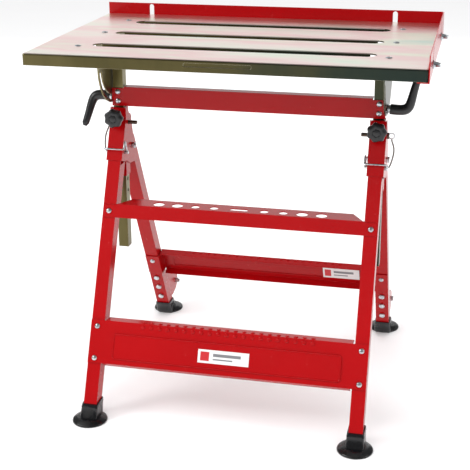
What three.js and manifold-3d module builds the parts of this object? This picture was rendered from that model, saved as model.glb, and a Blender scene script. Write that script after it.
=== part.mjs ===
// Folding welding table: a slotted steel top on two telescoping posts, held by an A-frame.
// Millimetres, +Z up. The floor is Z = 0 and the front is -Y. Parts are drawn about the middle of
// the top, then the whole table is moved so that the origin is the middle of its footprint.
// Every paired part is drawn once on the +X side; its left copy is mirrored by its group.
import * as THREE from "three";
import { mergeVertices } from "three/addons/utils/BufferGeometryUtils.js";
import Module from "manifold-3d";

// ---- driving dimensions ----
const GAP = 0.3; // clearance between touching parts
const SHEET = 2; // pressed steel thickness of legs, steps and rails

const TOP_HEIGHT = 762;
const TOP_WIDTH = 762;
const TOP_DEPTH = 508;
const TOP_SHEET = 2.5;
const TOP_RIM = 23;
const SLOT_PITCH = 139.7;
const SLOT_HALF = 14; // half of the clear width between a slot's lips
const SLOT_BEND = 4.2; // width of the rounded edge outside each lip
const SLOT_STRAIGHT = 265; // half length of the lips
const SLOT_END = 279; // half length of the whole slot
const RELIEF_RADIUS = 16;
const LIP_DROP = 15;
const SLOT_LIP = 2.2; // thickness of a lip where it hangs
const TOP_SCREW_X = 303;
const TOP_SCREW_Y = 159;

const SIDE_X = 275; // middle plane of each post and leg
const POST = 22;
const POST_WALL = 1.5;
const POST_BOTTOM = 290;
const POST_TOP = 718;
const PIN_PITCH = 25.4;
const PIN_HOLES = 7;
const PIN_Z = 571;
const PIN_RADIUS = 4;

const SLEEVE = 26;
const SLEEVE_WALL = 1.4;
const SLEEVE_TOP = 605;
const SLEEVE_BOTTOM = 454;

const BRACKET_INNER = 15.5; // half width between the bracket's cheeks
const BRACKET_WALL = 1.6;
const BRACKET_FRONT = -16.6;
const KNEE_Z = 585; // height where the front leg starts to lean
const FRONT_SLOPE = 0.447; // forward run per unit of drop
const REAR_SLOPE = 0.532;
const REAR_LEG_INNER = 13.4;
const REAR_LEG_WALL = 1.8;
const REAR_LEG_DEPTH = 32.8; // measured along Y
const FRONT_LEG_HALF = 14;
const FRONT_LEG_DEPTH = 32.9; // measured along Y
const FOLD = { y: 19, z: 515 };
const LOCK = { y: -30, z: 512 };
const KNOB_Z = 589;
const BRACKET_BOTTOM = 500;
const LEG_INSET = 2.5; // how far the front leg's face lies behind its bracket's
const LEG_BOTTOM = 8;
const REAR_WEB_TOP = 474;
const STUD_RADIUS = 5;
const PIVOT_RADIUS = 4; // fold bolts, foot bracket bolts and knob screws
const SCREW_HOLE = 3.3;

const TILT_Z = 705;
const TILT_RADIUS = 90;
const CLAMP_Z = 627;
const ARC_FRONT = 0.16; // angle of the tilt slot's front end below level, in radians
const ARC_HALF = 5.6; // half width of the tilt slot
const GRIP_LENGTH = 60;
const GRIP_LEAN = 0.36; // how far a lever's grip leans out from the post, in radians
const LOW_LEVER_TURN = -0.35; // the lowered lever points forward of straight down, in radians
const GRIP_ROOT = 328; // x where the grip leaves its hub
const PLATE_X = 288.3;
const PLATE_THICK = 2.7;

const STEP_HALF = 289; // half length over the front step's end tabs
const STEP_BODY_HALF = 257; // half length of both steps between the legs
const STEP_FLANGE = 23;
const STEP_SPLAY = 0.31; // how far each flange opens beyond square, in radians
const FRONT_STEP = { top: 194, height: 88.7, bolts: [181, 121] };
const REAR_STEP = { top: 199, height: 68, tabTop: 191, tabBottom: 137, bolt: 177 };
const BRACKET_BOLTS = [120, 90, 58];
const BRACKET_CROSS_BOLT = { y: 346, z: 66 };
const CROSSBAR = { top: 650, bottom: 609, bolts: [639, 619.5] };
const STUD_PITCH = 17.7; // tread studs of the front step
const SHELF_Z = 416;
const SHELF_SCREW_Z = 403;
const RAIL_RISE = 25;
const RAIL_TRAVEL_SLOT = 38;
const RAIL_BOLT_HOLE = 5.2;
const RAIL_BOLT_Z = 751;
const RAIL_BOLT_X = 278;
const RAIL_BOLT_Y = 150;
const FOOT_RADIUS = 36;
const TO_FOOTPRINT = { x: -8.3, y: -31.5 };

// ---- booleans ----
const wasm = await Module();
wasm.setup();

function toSolid(geometry) {
  const bare = geometry.clone();
  bare.deleteAttribute("normal");
  bare.deleteAttribute("uv");
  const merged = mergeVertices(bare, 1e-4);
  return new wasm.Manifold(
    new wasm.Mesh({
      numProp: 3,
      vertProperties: new Float32Array(merged.attributes.position.array),
      triVerts: new Uint32Array(merged.index.array),
    }),
  );
}

function toGeometry(solid) {
  const made = solid.getMesh();
  const geometry = new THREE.BufferGeometry();
  geometry.setAttribute("position", new THREE.BufferAttribute(made.vertProperties, 3));
  geometry.setIndex(new THREE.BufferAttribute(made.triVerts, 1));
  geometry.computeVertexNormals();
  return geometry;
}

function join(...geometries) {
  return toGeometry(geometries.map(toSolid).reduce((all, one) => all.add(one)));
}

function cut(geometry, ...tools) {
  return toGeometry(tools.map(toSolid).reduce((all, one) => all.subtract(one), toSolid(geometry)));
}

// ---- basic shapes ----
function box(x, y, z) {
  const geometry = new THREE.BoxGeometry(x[1] - x[0], y[1] - y[0], z[1] - z[0]);
  return geometry.translate((x[0] + x[1]) / 2, (y[0] + y[1]) / 2, (z[0] + z[1]) / 2);
}

function rodX(radius, x0, x1, y, z, sides = 16) {
  const geometry = new THREE.CylinderGeometry(radius, radius, x1 - x0, sides);
  return geometry.rotateZ(Math.PI / 2).translate((x0 + x1) / 2, y, z);
}

function rodY(radius, y0, y1, x, z, sides = 16) {
  return new THREE.CylinderGeometry(radius, radius, y1 - y0, sides).translate(x, (y0 + y1) / 2, z);
}

function rodZ(radius, z0, z1, x, y, sides = 16) {
  const geometry = new THREE.CylinderGeometry(radius, radius, z1 - z0, sides);
  return geometry.rotateX(Math.PI / 2).translate(x, y, (z0 + z1) / 2);
}

// Extrudes an outline of [y, z] points, or a Shape in that plane, from x0 to x1.
function sidePlate(outline, x0, x1) {
  const shape = outline instanceof THREE.Shape ? outline : new THREE.Shape(
    outline.map(([y, z]) => new THREE.Vector2(y, z)),
  );
  const geometry = new THREE.ExtrudeGeometry(shape, {
    depth: x1 - x0,
    bevelEnabled: false,
    curveSegments: 6,
  });
  const yzToWorld = new THREE.Matrix4().set(0, 0, 1, x0, 1, 0, 0, 0, 0, 1, 0, 0, 0, 0, 0, 1);
  return geometry.applyMatrix4(yzToWorld);
}

function stadium(halfLength, radius) {
  const shape = new THREE.Shape();
  shape.moveTo(-halfLength + radius, -radius);
  shape.lineTo(halfLength - radius, -radius);
  shape.absarc(halfLength - radius, 0, radius, -Math.PI / 2, Math.PI / 2, false);
  shape.lineTo(-halfLength + radius, radius);
  shape.absarc(-halfLength + radius, 0, radius, Math.PI / 2, (3 * Math.PI) / 2, false);
  return shape;
}

function roundedRectangle(halfX, halfY, radius) {
  const shape = new THREE.Shape();
  shape.moveTo(-halfX + radius, -halfY);
  shape.lineTo(halfX - radius, -halfY);
  shape.absarc(halfX - radius, -halfY + radius, radius, -Math.PI / 2, 0, false);
  shape.lineTo(halfX, halfY - radius);
  shape.absarc(halfX - radius, halfY - radius, radius, 0, Math.PI / 2, false);
  shape.lineTo(-halfX + radius, halfY);
  shape.absarc(-halfX + radius, halfY - radius, radius, Math.PI / 2, Math.PI, false);
  shape.lineTo(-halfX, -halfY + radius);
  shape.absarc(-halfX + radius, -halfY + radius, radius, Math.PI, (3 * Math.PI) / 2, false);
  return shape;
}

function flatPlate(shape, z0, z1, curveSegments = 5) {
  const geometry = new THREE.ExtrudeGeometry(shape, {
    depth: z1 - z0,
    bevelEnabled: false,
    curveSegments,
  });
  return geometry.translate(0, 0, z0);
}

function tube(points, radius, sides, steps) {
  const path = new THREE.CatmullRomCurve3(points.map(([x, y, z]) => new THREE.Vector3(x, y, z)));
  const section = new THREE.Shape();
  section.absarc(0, 0, radius, 0, Math.PI * 2, false);
  return new THREE.ExtrudeGeometry(section, {
    steps,
    extrudePath: path,
    curveSegments: sides,
    bevelEnabled: false,
  });
}

// ---- materials ----
function finish(color, roughness, metalness) {
  return new THREE.MeshStandardMaterial({ color, roughness, metalness });
}
const redPaint = () => finish(0xb80f16, 0.3, 0.1);
const zincGold = () => finish(0xb9a878, 0.32, 0.85);
const brightZinc = () => finish(0xc4ccd0, 0.28, 0.9);
const darkSteel = () => finish(0x4a4039, 0.45, 0.7);
const blackPlastic = () => finish(0x17181a, 0.45, 0);
const blackRubber = () => finish(0x1c1d1f, 0.75, 0);
const cordBlack = () => finish(0x2a2522, 0.6, 0);

// ---- scene graph ----
const table = new THREE.Group();
const sides = { left: new THREE.Group(), right: new THREE.Group() };
sides.left.scale.x = -1;
table.add(sides.left, sides.right);

function add(name, geometry, material, parent = table) {
  const mesh = new THREE.Mesh(geometry, material);
  mesh.name = name;
  parent.add(mesh);
}

// Adds one part to each side, NAME_left mirrored and NAME_right as drawn.
function addPair(name, geometry, makeMaterial) {
  for (const side of Object.keys(sides)) {
    add(`${name}_${side}`, geometry, makeMaterial(), sides[side]);
  }
}

// ---- leaning lines ----
// Front faces of the leg bracket, of the front leg and of the rear leg at height z.
const frontFaceY = (z) => BRACKET_FRONT - Math.max(0, KNEE_Z - z) * FRONT_SLOPE;
const legFaceY = (z) => frontFaceY(z) + LEG_INSET;
const rearFaceY = (z) => 16 + (FOLD.z - z) * REAR_SLOPE;

const FRONT_TILT = -Math.atan(FRONT_SLOPE);
const REAR_TILT = Math.atan(REAR_SLOPE);

// A short rod square to a leaning face, used to drill it.
function leaningDrill(radius, x, y, z, tilt) {
  return rodY(radius, -9, 9, 0, 0, 12).rotateX(tilt).translate(x, y, z);
}

// A slab between two heights whose front and back follow a leaning line.
function leaningSlab(lineY, zTop, zBottom, yFront, yBack, x0, x1) {
  const outline = [
    [lineY(zTop) + yFront, zTop],
    [lineY(zBottom) + yFront, zBottom],
    [lineY(zBottom) + yBack, zBottom],
    [lineY(zTop) + yBack, zTop],
  ];
  return sidePlate(outline, x0, x1);
}

// ---- tabletop ----
function rimmedTray() {
  const bend = 3;
  const outer = new THREE.ExtrudeGeometry(
    roundedRectangle(TOP_WIDTH / 2 - bend, TOP_DEPTH / 2 - bend, 2),
    { depth: TOP_RIM, bevelThickness: bend, bevelSize: bend, bevelSegments: 2, curveSegments: 1 },
  ).translate(0, 0, TOP_HEIGHT - TOP_RIM - bend);
  const below = box([-400, 400], [-270, 270], [TOP_HEIGHT - TOP_RIM - 20, TOP_HEIGHT - TOP_RIM]);
  const hollow = flatPlate(
    roundedRectangle(TOP_WIDTH / 2 - TOP_SHEET, TOP_DEPTH / 2 - TOP_SHEET, 2),
    TOP_HEIGHT - TOP_RIM - 10,
    TOP_HEIGHT - TOP_SHEET,
  );
  return cut(outer, below, hollow);
}

function slotCuts(y) {
  const wide = SLOT_HALF + SLOT_BEND;
  const z = [TOP_HEIGHT - 10, TOP_HEIGHT + 10];
  const ends = flatPlate(stadium(SLOT_END, RELIEF_RADIUS), ...z).translate(0, y, 0);
  const middle = box([-SLOT_STRAIGHT, SLOT_STRAIGHT], [y - wide, y + wide], z);
  return [ends, middle];
}

// The down-turned lip on one side of a slot: a rounded edge, then a short flange.
function slotLip(y, direction) {
  const inner = SLOT_HALF;
  const outer = SLOT_HALF + SLOT_BEND;
  const profile = [
    [outer + 0.5, TOP_HEIGHT],
    [outer, TOP_HEIGHT],
    [inner + 1.2, TOP_HEIGHT - 1.2],
    [inner, TOP_HEIGHT - SLOT_BEND],
    [inner, TOP_HEIGHT - TOP_SHEET - LIP_DROP],
    [inner + SLOT_LIP, TOP_HEIGHT - TOP_SHEET - LIP_DROP],
    [inner + SLOT_LIP, TOP_HEIGHT - 2 * SLOT_LIP],
    [outer + 0.5, TOP_HEIGHT - TOP_SHEET],
  ];
  const outline = profile.map(([distance, z]) => [y + direction * distance, z]);
  if (direction < 0) outline.reverse();
  return sidePlate(outline, -SLOT_STRAIGHT, SLOT_STRAIGHT);
}

function tabletop() {
  const slotRows = [-SLOT_PITCH, 0, SLOT_PITCH];
  const screwHoles = [];
  for (const x of [-TOP_SCREW_X, TOP_SCREW_X]) {
    for (const y of [-TOP_SCREW_Y, 0, TOP_SCREW_Y]) {
      screwHoles.push(rodZ(4.2, TOP_HEIGHT - 10, TOP_HEIGHT + 10, x, y, 12));
    }
  }
  const rib = new THREE.ExtrudeGeometry(stadium(64, 3.5), { depth: 4, bevelEnabled: false })
    .rotateX(Math.PI / 2)
    .translate(0, -TOP_DEPTH / 2 + 1.2, 752.5);
  const boltHoles = [-RAIL_BOLT_X, RAIL_BOLT_X]
    .map((x) => rodY(SCREW_HOLE, 240, 262, x, RAIL_BOLT_Z, 10))
    .concat([-RAIL_BOLT_Y, RAIL_BOLT_Y].map((y) => rodX(SCREW_HOLE, 370, 390, y, RAIL_BOLT_Z, 10)));
  const plate = cut(rimmedTray(), ...slotRows.flatMap(slotCuts), ...screwHoles, rib, ...boltHoles);
  const lips = slotRows.flatMap((y) => [slotLip(y, 1), slotLip(y, -1)]);
  return join(plate, ...lips);
}

// ---- guide rails: angle strips that slide up and down on the rim ----
function railSlotY(x) {
  const slot = stadium(RAIL_TRAVEL_SLOT / 2, RAIL_BOLT_HOLE);
  return new THREE.ExtrudeGeometry(slot, { depth: 20, bevelEnabled: false, curveSegments: 3 })
    .rotateZ(Math.PI / 2)
    .rotateX(Math.PI / 2)
    .translate(x, TOP_DEPTH / 2 + 12, TOP_HEIGHT + 4);
}

function rearRail() {
  const y0 = TOP_DEPTH / 2 + GAP;
  const top = TOP_HEIGHT + RAIL_RISE;
  const under = TOP_HEIGHT - TOP_RIM - GAP;
  const strip = box([-381, 380.6], [y0, y0 + SHEET], [under - SHEET, top]);
  const foot = box([-374, 356], [y0 - 22, y0 + SHEET], [under - SHEET, under]);
  return cut(join(strip, foot), railSlotY(-RAIL_BOLT_X), railSlotY(RAIL_BOLT_X));
}

function rightRail() {
  const x0 = TOP_WIDTH / 2 + GAP;
  const top = TOP_HEIGHT + RAIL_RISE;
  const under = TOP_HEIGHT - TOP_RIM - GAP;
  const strip = box([x0, x0 + SHEET], [-254, 253.8], [under - SHEET, top]);
  const foot = box([x0 - 20, x0 + SHEET], [-254, 231], [under - SHEET, under]);
  const slots = [-RAIL_BOLT_Y, RAIL_BOLT_Y].map((y) =>
    new THREE.ExtrudeGeometry(stadium(RAIL_TRAVEL_SLOT / 2, RAIL_BOLT_HOLE), {
      depth: 20,
      bevelEnabled: false,
      curveSegments: 3,
    })
      .rotateY(Math.PI / 2)
      .translate(x0 - 10, y, TOP_HEIGHT + 4),
  );
  return cut(join(strip, foot), ...slots);
}

// A carriage bolt along +Y from the inside of a rim face at y = 0; turned for the side rail.
function railBolt() {
  const head = rodY(6.5, -TOP_SHEET - GAP - 3, -TOP_SHEET - GAP, 0, 0, 12);
  const shank = rodY(3, -TOP_SHEET - GAP - 1, 15, 0, 0, 10);
  return join(head, shank);
}

function wingNut() {
  const start = GAP * 2 + SHEET;
  const washer = rodY(8.5, start, start + 1.4, 0, 0, 14);
  const hub = new THREE.CylinderGeometry(4.8, 6.2, 8, 12).translate(0, start + 5.2, 0);
  const wing = new THREE.Shape();
  wing.moveTo(3, start + 2.5);
  wing.lineTo(8, start + 3.5);
  wing.quadraticCurveTo(16.5, start + 5, 16, start + 12);
  wing.quadraticCurveTo(14.5, start + 15.5, 11.5, start + 13);
  wing.quadraticCurveTo(9, start + 8.5, 3, start + 8);
  const blade = new THREE.ExtrudeGeometry(wing, { depth: 2.6, bevelEnabled: false, curveSegments: 3 })
    .translate(0, 0, -1.3);
  const other = blade.clone().rotateY(Math.PI);
  return cut(join(washer, hub, blade, other), rodY(3 + GAP, -5, 30, 0, 0, 10));
}

// ---- posts, crossbar and tilt gear ----
// Studs welded to the outer face of the post: one to tilt on, one for the clamp lever.
function tiltStud() {
  const shank = rodX(STUD_RADIUS, SIDE_X + POST / 2 - 0.5, PLATE_X + PLATE_THICK + 3, 0, TILT_Z);
  const head = rodX(8.5, PLATE_X + PLATE_THICK + GAP, PLATE_X + PLATE_THICK + 6, 0, TILT_Z, 6);
  return join(shank, head);
}

function post() {
  const half = POST / 2;
  const inner = half - POST_WALL;
  const bar = box([SIDE_X - half, SIDE_X + half], [-half, half], [POST_BOTTOM, POST_TOP]);
  const bore = box(
    [SIDE_X - inner, SIDE_X + inner],
    [-inner, inner],
    [POST_BOTTOM - 10, POST_TOP - POST_WALL * 2],
  );
  const pinHoles = Array.from({ length: PIN_HOLES }, (_, i) =>
    rodX(PIN_RADIUS + GAP, 255, 295, 0, PIN_Z - i * PIN_PITCH, 10),
  );
  const barHoles = CROSSBAR.bolts.map((z) => rodY(SCREW_HOLE, -20, 0, SIDE_X, z, 12));
  return join(cut(bar, bore, ...pinHoles, ...barHoles), tiltStud(), clampStud());
}

function clampStud() {
  return rodX(STUD_RADIUS, SIDE_X + POST / 2 - 0.5, PLATE_X + 23.7, 0, CLAMP_Z);
}

// Bent clamp lever, its hub on the clamp stud; up is +1 for a raised grip, -1 for a lowered one.
function clampLever(up) {
  const start = PLATE_X + PLATE_THICK + GAP;
  const boss = rodX(8, start, start + 4, 0, CLAMP_Z, 18);
  const hubRadius = 11.5;
  const hub = rodX(hubRadius, start + 3, GRIP_ROOT - 2, 0, CLAMP_Z);
  const elbow = new THREE.SphereGeometry(hubRadius, 12, 8).translate(GRIP_ROOT - 2, 0, CLAMP_Z);
  const grip = new THREE.CylinderGeometry(7, 10.5, GRIP_LENGTH, 14)
    .translate(0, GRIP_LENGTH / 2, 0)
    .rotateX(Math.PI / 2)
    .rotateY(GRIP_LEAN)
    .translate(GRIP_ROOT, 0, CLAMP_Z);
  const end = new THREE.SphereGeometry(7, 12, 6).translate(
    GRIP_ROOT + GRIP_LENGTH * Math.sin(GRIP_LEAN),
    0,
    CLAMP_Z + GRIP_LENGTH * Math.cos(GRIP_LEAN),
  );
  const bore = rodX(STUD_RADIUS + GAP, 280, PLATE_X + 24.7, 0, CLAMP_Z);
  const lever = cut(join(boss, hub, elbow, grip, end), bore);
  const turn = up > 0 ? 0 : Math.PI + LOW_LEVER_TURN;
  return lever.translate(0, 0, -CLAMP_Z).rotateX(turn).translate(0, 0, CLAMP_Z);
}

function tiltPlate() {
  const shape = new THREE.Shape();
  shape.moveTo(TILT_RADIUS, TILT_Z);
  shape.lineTo(TILT_RADIUS, TOP_HEIGHT - 5);
  shape.lineTo(-TILT_RADIUS, TOP_HEIGHT - 5);
  shape.lineTo(-TILT_RADIUS, TILT_Z);
  shape.absarc(0, TILT_Z, TILT_RADIUS, Math.PI, 2 * Math.PI, false);
  const x1 = PLATE_X + PLATE_THICK;
  const disc = sidePlate(shape, PLATE_X, x1);
  const flangeTop = TOP_HEIGHT - TOP_SHEET - GAP;
  const flange = box([PLATE_X, PLATE_X + 30], [-172, 172], [flangeTop - PLATE_THICK, flangeTop]);
  const arcRadius = TILT_Z - CLAMP_Z;
  const arc = new THREE.Shape();
  const startAngle = Math.PI + ARC_FRONT;
  const endAngle = 1.5 * Math.PI;
  arc.absarc(0, TILT_Z, arcRadius + ARC_HALF, startAngle, endAngle, false);
  arc.absarc(0, TILT_Z - arcRadius, ARC_HALF, -Math.PI / 2, Math.PI / 2, false);
  arc.absarc(0, TILT_Z, arcRadius - ARC_HALF, endAngle, startAngle, true);
  const pivotHole = rodX(STUD_RADIUS + GAP, 280, 300, 0, TILT_Z);
  const screws = [-TOP_SCREW_Y, 0, TOP_SCREW_Y].map((y) =>
    rodZ(SCREW_HOLE, flangeTop - 10, TOP_HEIGHT, TOP_SCREW_X, y, 12),
  );
  return cut(join(disc, flange), sidePlate(arc, PLATE_X - 2, x1 + 2), pivotHole, ...screws);
}

function crossbar() {
  const front = -POST / 2 - GAP - SHEET;
  const { top, bottom, bolts } = CROSSBAR;
  const clear = SIDE_X - SLEEVE / 2; // the folded part ends short of each post
  const web = box([-clear, clear], [front, front + SHEET], [bottom, top]);
  const tabs = box([-288, 288], [front, front + SHEET], [bottom, top - 3]);
  const flange = box([-clear, clear], [front, front + 22], [top - SHEET, top]);
  const holes = [-SIDE_X, SIDE_X].flatMap((x) =>
    bolts.map((z) => rodY(SCREW_HOLE, -20, 0, x, z, 12)),
  );
  return cut(join(web, tabs, flange), ...holes);
}

// A round-headed bolt along Y whose head rests on a plate's front face at y = 0.
function headBolt(length, radius = 3, headRadius = 5.6) {
  const head = rodY(headRadius, -3.6, -GAP, 0, 0, 12);
  const shank = rodY(radius, -1, length, 0, 0, 10);
  return join(head, shank);
}

// ---- sleeves, brackets and front legs ----
function sleeve() {
  const half = SLEEVE / 2;
  const inner = half - SLEEVE_WALL;
  const outer = box([SIDE_X - half, SIDE_X + half], [-half, half], [SLEEVE_BOTTOM, SLEEVE_TOP]);
  const bore = box(
    [SIDE_X - inner, SIDE_X + inner],
    [-inner, inner],
    [SLEEVE_BOTTOM - 5, SLEEVE_TOP + 5],
  );
  const pin = rodX(PIN_RADIUS + GAP, 255, 295, 0, PIN_Z);
  const screw = rodY(PIVOT_RADIUS + GAP, -20, 0, SIDE_X, KNOB_Z);
  return cut(outer, bore, pin, screw);
}

// Pressed channel that wraps the sleeve and carries the leg pivot, the height pin and the lock pin.
function legBracket() {
  const cheek = new THREE.Shape();
  cheek.moveTo(BRACKET_FRONT, SLEEVE_TOP);
  cheek.lineTo(BRACKET_FRONT, KNEE_Z);
  cheek.lineTo(frontFaceY(BRACKET_BOTTOM), BRACKET_BOTTOM);
  cheek.lineTo(frontFaceY(BRACKET_BOTTOM) + 26, BRACKET_BOTTOM - 9);
  cheek.lineTo(8, BRACKET_BOTTOM - 2);
  cheek.absarc(FOLD.y, FOLD.z, 15, -Math.PI / 2, 0.3, false);
  cheek.lineTo(18, PIN_Z + 3);
  cheek.absarc(6, PIN_Z + 5, 13, 0, Math.PI / 2, false);
  cheek.lineTo(-6, SLEEVE_TOP);
  const out = BRACKET_INNER + BRACKET_WALL;
  const wall = 2.1;
  const cheeks = [
    sidePlate(cheek, SIDE_X - out, SIDE_X - BRACKET_INNER),
    sidePlate(cheek, SIDE_X + BRACKET_INNER, SIDE_X + out),
  ];
  const front = sidePlate(
    [
      [BRACKET_FRONT, SLEEVE_TOP],
      [BRACKET_FRONT, KNEE_Z],
      [frontFaceY(BRACKET_BOTTOM), BRACKET_BOTTOM],
      [frontFaceY(BRACKET_BOTTOM) + wall, BRACKET_BOTTOM],
      [BRACKET_FRONT + wall, KNEE_Z - 0.6],
      [BRACKET_FRONT + wall, SLEEVE_TOP],
    ],
    SIDE_X - out,
    SIDE_X + out,
  );
  const holes = [
    rodX(PIN_RADIUS + GAP, 250, 300, 0, PIN_Z, 12),
    rodX(PIN_RADIUS + GAP, 250, 300, LOCK.y, LOCK.z, 12),
    rodX(PIVOT_RADIUS + GAP, 250, 300, FOLD.y, FOLD.z),
    rodY(PIVOT_RADIUS + GAP, -20, -10, SIDE_X, KNOB_Z),
  ];
  return cut(join(...cheeks, front), ...holes);
}

function frontLeg() {
  const low = LEG_BOTTOM;
  const flangeTop = 490;
  const left = SIDE_X - FRONT_LEG_HALF;
  const right = SIDE_X + FRONT_LEG_HALF;
  const web = leaningSlab(legFaceY, 545, low, 0, SHEET + 0.2, left, right);
  const flanges = [
    leaningSlab(legFaceY, flangeTop, low, 0, FRONT_LEG_DEPTH, left, left + SHEET),
    leaningSlab(legFaceY, flangeTop, low, 0, FRONT_LEG_DEPTH, right - SHEET, right),
  ];
  const stepHoles = FRONT_STEP.bolts.map((z) =>
    leaningDrill(SCREW_HOLE, SIDE_X, legFaceY(z), z, FRONT_TILT),
  );
  const shelfY = legFaceY(SHELF_SCREW_Z);
  const shelfHole = leaningDrill(SCREW_HOLE, SIDE_X, shelfY, SHELF_SCREW_Z, FRONT_TILT);
  return cut(join(web, ...flanges), ...stepHoles, shelfHole);
}

// ---- rear legs ----
function rearCheek() {
  const rear = (z) => rearFaceY(z) + REAR_LEG_DEPTH;
  const shape = new THREE.Shape();
  shape.moveTo(rearFaceY(LEG_BOTTOM), LEG_BOTTOM);
  shape.lineTo(rear(LEG_BOTTOM), LEG_BOTTOM);
  shape.lineTo(rear(531), 531);
  shape.lineTo(28, 545);
  shape.lineTo(5, 548);
  shape.lineTo(-20, 540);
  shape.lineTo(-32.5, 524);
  // Open notch that rests over the lock pin and lifts clear of it as the frame folds.
  shape.absarc(LOCK.y, LOCK.z, 4.6, 2.2, 0, true);
  shape.lineTo(-23.5, 503);
  shape.lineTo(-15, 490);
  shape.lineTo(5, 478);
  shape.lineTo(rearFaceY(REAR_WEB_TOP), REAR_WEB_TOP);
  return shape;
}

function rearLeg() {
  const inner = REAR_LEG_INNER;
  const outer = REAR_LEG_INNER + REAR_LEG_WALL;
  const cheeks = [
    sidePlate(rearCheek(), SIDE_X - outer, SIDE_X - inner),
    sidePlate(rearCheek(), SIDE_X + inner, SIDE_X + outer),
  ];
  const webSpan = [SIDE_X - outer, SIDE_X + outer];
  const web = leaningSlab(rearFaceY, REAR_WEB_TOP, LEG_BOTTOM, 0, SHEET + 0.2, ...webSpan);
  const webHoles = [REAR_STEP.bolt, ...BRACKET_BOLTS].map((z) =>
    leaningDrill(SCREW_HOLE, SIDE_X, rearFaceY(z), z, REAR_TILT),
  );
  const pivotHole = rodX(PIVOT_RADIUS + GAP, 250, 300, FOLD.y, FOLD.z);
  return cut(join(...cheeks, web), pivotHole, ...webHoles);
}

function foldBolt() {
  const edge = BRACKET_INNER + BRACKET_WALL + GAP;
  const head = rodX(6.5, SIDE_X + edge, SIDE_X + edge + 4.5, FOLD.y, FOLD.z, 6);
  const nut = rodX(6.5, SIDE_X - edge - 6, SIDE_X - edge, FOLD.y, FOLD.z, 6);
  const shank = rodX(PIVOT_RADIUS, SIDE_X - edge - 9, SIDE_X + edge + 1, FOLD.y, FOLD.z, 14);
  return join(head, nut, shank);
}

// ---- shelf and steps ----
function shelf() {
  const t = 2.1;
  const web = (z) => legFaceY(z) - GAP * 1.2 - t;
  const plateDepth = 42;
  const front = web(SHELF_Z);
  const outline = new THREE.Shape();
  outline.moveTo(-259, front);
  outline.lineTo(259, front);
  outline.lineTo(234, front + plateDepth);
  outline.lineTo(-234, front + plateDepth);
  const middleY = front + 18;
  const toolHoles = [
    { pitch: 172, radius: 12 },
    { pitch: 132, radius: 12 },
    { pitch: 93, radius: 9 },
    { pitch: 53, radius: 9 },
  ];
  const top = flatPlate(outline, SHELF_Z - SHEET, SHELF_Z);
  const cuts = toolHoles.flatMap(({ pitch, radius }) =>
    [-pitch, pitch].map((x) => rodZ(radius, SHELF_Z - 10, SHELF_Z + 10, x, middleY, 18)),
  );
  const longHole = flatPlate(stadium(19.5, 6), SHELF_Z - 10, SHELF_Z + 10).translate(0, middleY, 0);
  const apron = leaningSlab(web, SHELF_Z, SHELF_Z - 26, 0, t, -262, 262);
  const tabs = leaningSlab(web, SHELF_Z - 2, SHELF_Z - 26, 0, t, -288, 288);
  const screwHoles = [-SIDE_X, SIDE_X].map((x) =>
    leaningDrill(SCREW_HOLE, x, legFaceY(SHELF_SCREW_Z), SHELF_SCREW_Z, FRONT_TILT),
  );
  return cut(join(top, apron, tabs), ...cuts, longHole, ...screwHoles);
}

// A step drawn flat: the web hangs from z = 0, its outside at y = 0, and its two flanges
// open towards +Y. The outside carries a shallow raised panel and a row of tread studs.
function stepChannel(height, bodyHalf, webHalf) {
  const web = box([-webHalf, webHalf], [0, SHEET], [-height, 0]);
  const topFlange = box([-bodyHalf, bodyHalf], [0, STEP_FLANGE], [-SHEET, 0]).rotateX(STEP_SPLAY);
  const lowFlange = box([-bodyHalf, bodyHalf], [0, STEP_FLANGE * 0.7], [0, SHEET])
    .rotateX(-STEP_SPLAY)
    .translate(0, 0, -height);
  const panel = box([-235, 235], [-1.4, 1], [-height + 13, -27]);
  const dish = box([-233, 233], [0.6, SHEET + 1], [-height + 15, -29]);
  const studs = Array.from({ length: 21 }, (_, i) => rodY(3.6, -1.3, 1, (i - 10) * STUD_PITCH, -7, 6));
  return cut(join(web, topFlange, lowFlange, panel, ...studs), dish);
}

function frontStep() {
  const y = legFaceY(FRONT_STEP.top) - SHEET - 0.8;
  const body = stepChannel(FRONT_STEP.height, STEP_BODY_HALF, STEP_HALF)
    .rotateX(FRONT_TILT)
    .translate(0, y, FRONT_STEP.top);
  const holes = FRONT_STEP.bolts.flatMap((z) =>
    [-SIDE_X, SIDE_X].map((x) => leaningDrill(SCREW_HOLE, x, legFaceY(z), z, FRONT_TILT)),
  );
  return cut(body, ...holes);
}

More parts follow.
